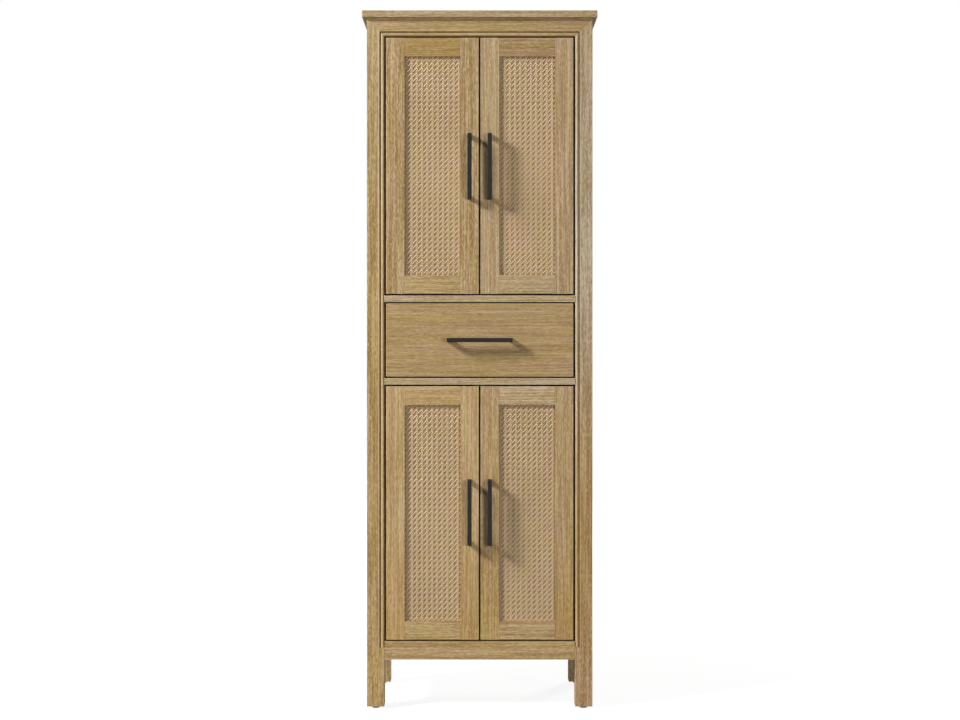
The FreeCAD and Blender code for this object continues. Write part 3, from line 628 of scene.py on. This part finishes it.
caneWeave = {
    "pitch": {"upper_left": (0.01367, 0.01312), "upper_right": (0.01367, 0.01312),
              "lower_left": (0.01319, 0.01382), "lower_right": (0.0136, 0.01325)},
    "uprightOffset": 0.00128,  # half the spacing of a pair
    "levelOffset": 0.00185,
    "pairWidth": 0.0022,
    "diagonalWidth": 0.0025,
    "thickness": 0.0008,
    "step": 0.0006,  # height of one strand over another
    "lift": 0.0004,  # of the weave towards the front of its panel
    "margin": 0.0006,  # kept back from the panel's edges
    "wander": 0.00012,  # of a strand from its line, the wave it follows, and the span of the wave's starts
    "wave": 0.9,
    "phases": 6.3,
    "offCentre": 0.003,  # of the weave in its panel, either way
    "seed": 40,
    "widthSpread": 0.07,
    # painted light and shade of each strand family: the rising diagonals painted as lit, the level pairs as
    # shaded
    "paintedLight": {"upright": 0.8, "level": 0.0, "falling": 0.28, "rising": 1.0},
    "crossover": 0.6,  # share of a strand's half width that stays level where a pair crosses
    "betweenPairs": (0.4, 0.6),  # where a strand of a pair lies level, in pitches past the pair it crosses
    "diagonalFlat": 0.17,  # half the length that a diagonal stays high or low, in pitches
    "shortest": 0.3,  # diagonals under this many pitches are left out
    "endGap": 0.02,  # least distance between a strand's end and its next bend, in pitches
}
caneLook = {
    "pale": colour(240, 215, 175),
    "body": colour(205, 177, 134),
    "brown": colour(162, 131, 90),
    "dull": colour(146, 116, 77),  # painted shade of the strands that run across
    "fibre": (2.5, 45.0, 3.7),  # how often it repeats across and along, and its step from strand to strand
    "fibreTone": (0.34, 0.66),
    "ownTone": 0.3,  # how far a strand keeps to the body's tone
    "paintedShadeRamp": (0.0, 0.5, 1.0, 0.0),  # painted shade: painted light from and to, and the share of the dull tone at each
    # painted light: painted light from and to, and the share of the pale tone at each
    "paintedLightRamp": (0.4, 1.0, 0.0, 0.8),
    "rim": (0.45, 1.0, 0.0, 0.35),  # across the strand from and to, and the share of brown at each
    "clouds": 0.18,
    "patchScale": 26,
    "patchReach": (0.38, 0.62),
    "patches": ((1.03, 1.06, 1.0, 1), (1.05, 1.03, 1.09, 1)),  # what multiplies the tone from place to place
    "gloss": 0.2,
    "roughness": (0.38, 0.6),
    "relief": 0.00008,
}


def makeCaneMaterial(look):
    material, tree, shader, place = newMaterial("caneStrand")
    strand = tree.nodes.new("ShaderNodeAttribute")
    strand.attribute_name = "strand"  # across, along and the strand's own number
    across, _, number = splitNode(tree, strand.outputs["Vector"])
    own = tree.nodes.new("ShaderNodeTexWhiteNoise")
    own.noise_dimensions = "1D"
    tree.links.new(number, own.inputs["W"])
    fibre = noise(tree, vectorNode(tree, "MULTIPLY", strand.outputs["Vector"], look["fibre"]), 1, 3, 0.6)
    mottle = placeGroup(tree, mottleGroup, Vector=place)
    tone = mixNode(tree, rangeNode(tree, fibre, *look["fibreTone"]), look["body"], look["pale"])
    ownTone = mathNode(tree, "MULTIPLY", own.outputs["Value"], look["ownTone"])
    tone = mixNode(tree, ownTone, tone, look["body"])
    # painted light and shade: each strand is dulled and paled by the painted light of its family
    paintedLightNode = tree.nodes.new("ShaderNodeAttribute")
    paintedLightNode.attribute_name = "paintedLight"
    tone = mixNode(tree, rangeNode(tree, paintedLightNode.outputs["Fac"], *look["paintedShadeRamp"]), tone, look["dull"])
    tone = mixNode(tree, rangeNode(tree, paintedLightNode.outputs["Fac"], *look["paintedLightRamp"]), tone, look["pale"])
    rim = rangeNode(tree, mathNode(tree, "ABSOLUTE", across), *look["rim"])
    tone = mixNode(tree, rim, tone, look["brown"])
    tone = mixNode(tree, mathNode(tree, "MULTIPLY", mottle["Broad"], look["clouds"]), tone, look["brown"])
    patch = rangeNode(tree, noise(tree, place, look["patchScale"], 1), *look["patchReach"])
    tone = mixNode(tree, 1.0, tone, mixNode(tree, patch, *look["patches"]), "MULTIPLY")
    tree.links.new(tone, shader.inputs["Base Color"])
    tree.links.new(rangeNode(tree, fibre, *noiseReach, *look["roughness"]), shader.inputs["Roughness"])
    shader.inputs["Specular IOR Level"].default_value = look["gloss"]
    bump(tree, shader, fibre, look["relief"])
    return material


def makeTube(rings):
    # a closed five-sided tube of length 1, cut into rings
    tube = bmesh.new()
    bmesh.ops.create_cone(tube, cap_ends=True, segments=5, radius1=1, radius2=1, depth=1)
    lengthwise = [e for e in tube.edges if abs(e.verts[0].co.z - e.verts[1].co.z) > 0.5]
    bmesh.ops.subdivide_edges(tube, edges=lengthwise, cuts=rings - 2)
    mesh = bpy.data.meshes.new("tube")
    tube.to_mesh(mesh)
    tube.free()
    return mesh


tubes = {}
ringWide, ringShare = 1.9, 0.55  # a five-sided ring of radius 1 is 1.9 wide, and 0.55 of its depth is 1


def addStrand(weave, layer, shade, stations, heading, width, thickness, number, paintedLight):
    # a length of cane through the stations, its crown towards the front
    rings = len(stations)
    if rings not in tubes:
        tubes[rings] = makeTube(rings)
    before = len(weave.verts)
    weave.from_mesh(tubes[rings])
    weave.verts.ensure_lookup_table()
    front = Vector((0, -1, 0))
    sideways = front.cross(heading)
    for vertex in weave.verts[before:]:
        x, y, z = vertex.co
        station = stations[round((z + 0.5) * (rings - 1))]
        vertex[layer] = (x, (station - stations[0]).length, number)
        vertex[shade] = paintedLight
        vertex.co = station + sideways * (x * width / ringWide) + front * (y * thickness * ringShare)


def heightAt(position, marks):
    # straight lines between marks of (position, height)
    for (a, low), (b, high) in zip(marks, marks[1:]):
        if a <= position <= b:
            return low + (high - low) * (position - a) / (b - a)
    return marks[0][1] if position < marks[0][0] else marks[-1][1]


def pairMarks(first, last, offset, flat, upFirst):
    # over one strand of a crossing pair and under the other, then level to the next pair
    high = 0.5 if upFirst else -0.5
    inner = flat * caneWeave["crossover"]
    start, end = caneWeave["betweenPairs"]
    marks = []
    for cell in range(math.floor(first) - 1, math.ceil(last) + 2):
        marks += [(cell - offset - flat, high), (cell - offset + inner, high), (cell + offset - inner, -high),
                  (cell + offset + flat, -high), (cell + start, 0.0), (cell + end, 0.0)]
    return marks


def diagonalMarks(first, last, overAtHalves):
    # over one kind of pair and under the other, half a pitch apart
    flat = caneWeave["diagonalFlat"]
    marks = []
    for half in range(2 * math.floor(first) - 2, 2 * math.ceil(last) + 3):
        high = 1.0 if (half % 2 == 1) == overAtHalves else -1.0
        marks += [(half / 2 - flat, high), (half / 2 + flat, high)]
    return marks


def weaveCane(door, seed):
    low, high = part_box(door + "_cane_panel")
    w = caneWeave
    rolls = random.Random(seed)
    x0, x1 = low.x + w["margin"], high.x - w["margin"]
    z0, z1 = low.z + w["margin"], high.z - w["margin"]
    aside = rolls.uniform(-w["offCentre"], w["offCentre"])
    middle = Vector(((x0 + x1) / 2 + aside, (low.y + high.y) / 2, (z0 + z1) / 2))
    pitch = w["pitch"][door]
    weave = bmesh.new()
    weave.verts.layers.float_vector.new("strand")
    weave.verts.layers.float.new("paintedLight")
    layer, shade = weave.verts.layers.float_vector["strand"], weave.verts.layers.float["paintedLight"]
    count = 0

    def point(u, v, height, sway):
        bend = w["wander"] * math.sin(sway + w["wave"] * (u + v))
        x = min(max(middle.x + u * pitch[0] + bend, x0), x1)
        z = min(max(middle.z + v * pitch[1] + bend, z0), z1)
        return Vector((x, middle.y - w["lift"] - height * w["step"], z))

    def lay(family, start, end, marks, place, heading, width):
        nonlocal count
        inside = sorted({start, end} | {m for m, _ in marks if start + w["endGap"] < m < end - w["endGap"]})
        sway = rolls.uniform(0, w["phases"])
        stations = [point(*place(t), heightAt(t, marks), sway) for t in inside]
        if len(stations) > 2:
            count += 1
            wide = width * (1 + rolls.uniform(-1, 1) * w["widthSpread"])
            addStrand(weave, layer, shade, stations, heading, wide, w["thickness"], count,
                      w["paintedLight"][family])

    u0, u1 = (x0 - middle.x) / pitch[0], (x1 - middle.x) / pitch[0]
    v0, v1 = (z0 - middle.z) / pitch[1], (z1 - middle.z) / pitch[1]
    halfU, halfV = w["uprightOffset"] / pitch[0], w["levelOffset"] / pitch[1]
    flatU, flatV = w["pairWidth"] / 2 / pitch[0], w["pairWidth"] / 2 / pitch[1]
    for column in range(math.floor(u0), math.ceil(u1) + 1):  # upright pairs
        for side in (-1, 1):
            u = column + side * halfU
            if u0 + flatU < u < u1 - flatU:
                lay("upright", v0, v1, pairMarks(v0, v1, halfV, flatV, side < 0), lambda t: (u, t),
                    Vector((0, 0, 1)), w["pairWidth"])
    for row in range(math.floor(v0), math.ceil(v1) + 1):  # level pairs
        for side in (-1, 1):
            v = row + side * halfV
            if v0 + flatV < v < v1 - flatV:
                lay("level", u0, u1, pairMarks(u0, u1, halfU, flatU, side > 0), lambda t: (t, v),
                    Vector((1, 0, 0)), w["pairWidth"])
    slope = Vector((pitch[0], 0, pitch[1])).normalized()
    # rising to the right, over the level pairs
    for k in range(math.floor(u0 - v1), math.ceil(u1 - v0) + 1):
        start, end = max(u0, v0 + k + 0.5), min(u1, v1 + k + 0.5)
        if end - start > w["shortest"]:
            lay("rising", start, end, diagonalMarks(start, end, True), lambda t: (t, t - k - 0.5), slope,
                w["diagonalWidth"])
    slope = Vector((pitch[0], 0, -pitch[1])).normalized()
    # falling to the right, over the upright pairs
    for k in range(math.floor(u0 + v0), math.ceil(u1 + v1) + 1):
        start, end = max(u0, k + 0.5 - v1), min(u1, k + 0.5 - v0)
        if end - start > w["shortest"]:
            lay("falling", start, end, diagonalMarks(start, end, False), lambda t: (t, k + 0.5 - t), slope,
                w["diagonalWidth"])

    bmesh.ops.recalc_face_normals(weave, faces=weave.faces)
    for face in weave.faces:
        face.smooth = True
    mesh = bpy.data.meshes.new(door + "_cane")
    weave.to_mesh(mesh)
    weave.free()
    piece = bpy.data.objects.new(door + "_cane", mesh)
    bpy.context.scene.collection.objects.link(piece)
    triangles = sum(len(p.vertices) - 2 for p in mesh.polygons)
    print(door, "cane woven:", count, "strands,", triangles, "triangles")
    return piece


caneMaterial = makeCaneMaterial(caneLook)
for seed, door in enumerate(doorNames):
    cane = weaveCane(door, caneWeave["seed"] + seed)
    cane.data.materials.append(caneMaterial)
    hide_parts(door + "_cane_panel")
    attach(cane, door + "_door")


# studio: pale floor, a key from the upper left, a softer lamp from the front, one behind, plain surround

studio = {
    "floorSize": 30.0,
    "floorColour": (0.2, 0.2, 0.2, 1),
    "floorRoughness": 0.9,
    "floorLift": (0.9, 1.0),  # added for the camera, near the object and far from it
    "floorReach": (0.6, 2.5),  # from the object
    "surround": 0.015,
    "lamps": {  # place, what it points at, size, power
        "key": ((-3.8, -2.22, 3.45), (0, 0, -5.0), 1.3, 372),
        "front": ((2.65, -6.2, 1.1), (0, 0, 0.8), 1.6, 158),
        "back": ((2.6, 4.5, 2.6), (0, 0, 0.9), 1.5, 205),
    },
}


def addSeenAsWhite(tree, weak, strong):
    # weak for light on the object, strong where the camera, a gloss or a glass looks at it
    path = tree.nodes.new("ShaderNodeLightPath")
    seen = mathNode(tree, "MAXIMUM", path.outputs["Is Camera Ray"], path.outputs["Is Glossy Ray"])
    seen = mathNode(tree, "MAXIMUM", seen, path.outputs["Is Transmission Ray"])
    more = mathNode(tree, "MULTIPLY", seen, mathNode(tree, "SUBTRACT", strong, weak))
    return mathNode(tree, "ADD", weak, more)


def makeFloor(look):
    sheet = bmesh.new()
    bmesh.ops.create_grid(sheet, x_segments=1, y_segments=1, size=look["floorSize"] / 2)
    mesh = bpy.data.meshes.new("floor")
    sheet.to_mesh(mesh)
    sheet.free()
    floor = bpy.data.objects.new("floor", mesh)
    bpy.context.scene.collection.objects.link(floor)
    material, tree, shader, place = newMaterial("paleFloor")
    shader.inputs["Base Color"].default_value = look["floorColour"]
    shader.inputs["Roughness"].default_value = look["floorRoughness"]
    shader.inputs["Specular IOR Level"].default_value = 0.0
    shader.inputs["Emission Color"].default_value = (1, 1, 1, 1)
    away = tree.nodes.new("ShaderNodeVectorMath")
    away.operation = "LENGTH"
    tree.links.new(place, away.inputs[0])
    lift = rangeNode(tree, away.outputs["Value"], *look["floorReach"], *look["floorLift"])
    tree.links.new(addSeenAsWhite(tree, 0.0, lift), shader.inputs["Emission Strength"])
    mesh.materials.append(material)


def makeSurround(look):
    world = bpy.data.worlds.new("surround")
    world.use_nodes = True
    tree = world.node_tree
    background = tree.nodes["Background"]
    background.inputs["Color"].default_value = (1, 1, 1, 1)
    tree.links.new(addSeenAsWhite(tree, look["surround"], 1.0), background.inputs["Strength"])
    bpy.context.scene.world = world


def makeLamps(look):
    for name, (place, target, size, power) in look["lamps"].items():
        data = bpy.data.lights.new(name, "AREA")
        data.shape = "DISK"
        data.size = size
        data.energy = power
        lamp = bpy.data.objects.new(name, data)
        lamp.location = place
        lamp.rotation_euler = (Vector(target) - Vector(place)).to_track_quat("-Z", "Y").to_euler()
        bpy.context.scene.collection.objects.link(lamp)


makeFloor(studio)
makeSurround(studio)
makeLamps(studio)

photoCamera = {
    "aside": 0.0008,
    "distance": 4.6614,
    "height": 0.9675,
    "tilt": 0.0025,  # downwards
    "lens": 64.89,
    "sensor": 36,
    "shiftY": -0.02,
}


def makeCamera(look):
    data = bpy.data.cameras.new("camera")
    data.lens = look["lens"]
    data.sensor_width = look["sensor"]
    data.shift_y = look["shiftY"]
    camera = bpy.data.objects.new("camera", data)
    camera.location = (look["aside"], -look["distance"], look["height"])
    camera.rotation_euler = Euler((math.pi / 2 - look["tilt"], 0, 0))
    bpy.context.scene.collection.objects.link(camera)
    bpy.context.scene.camera = camera


makeCamera(photoCamera)
bpy.context.scene.view_settings.view_transform = "Standard"
print("studio and camera ready")
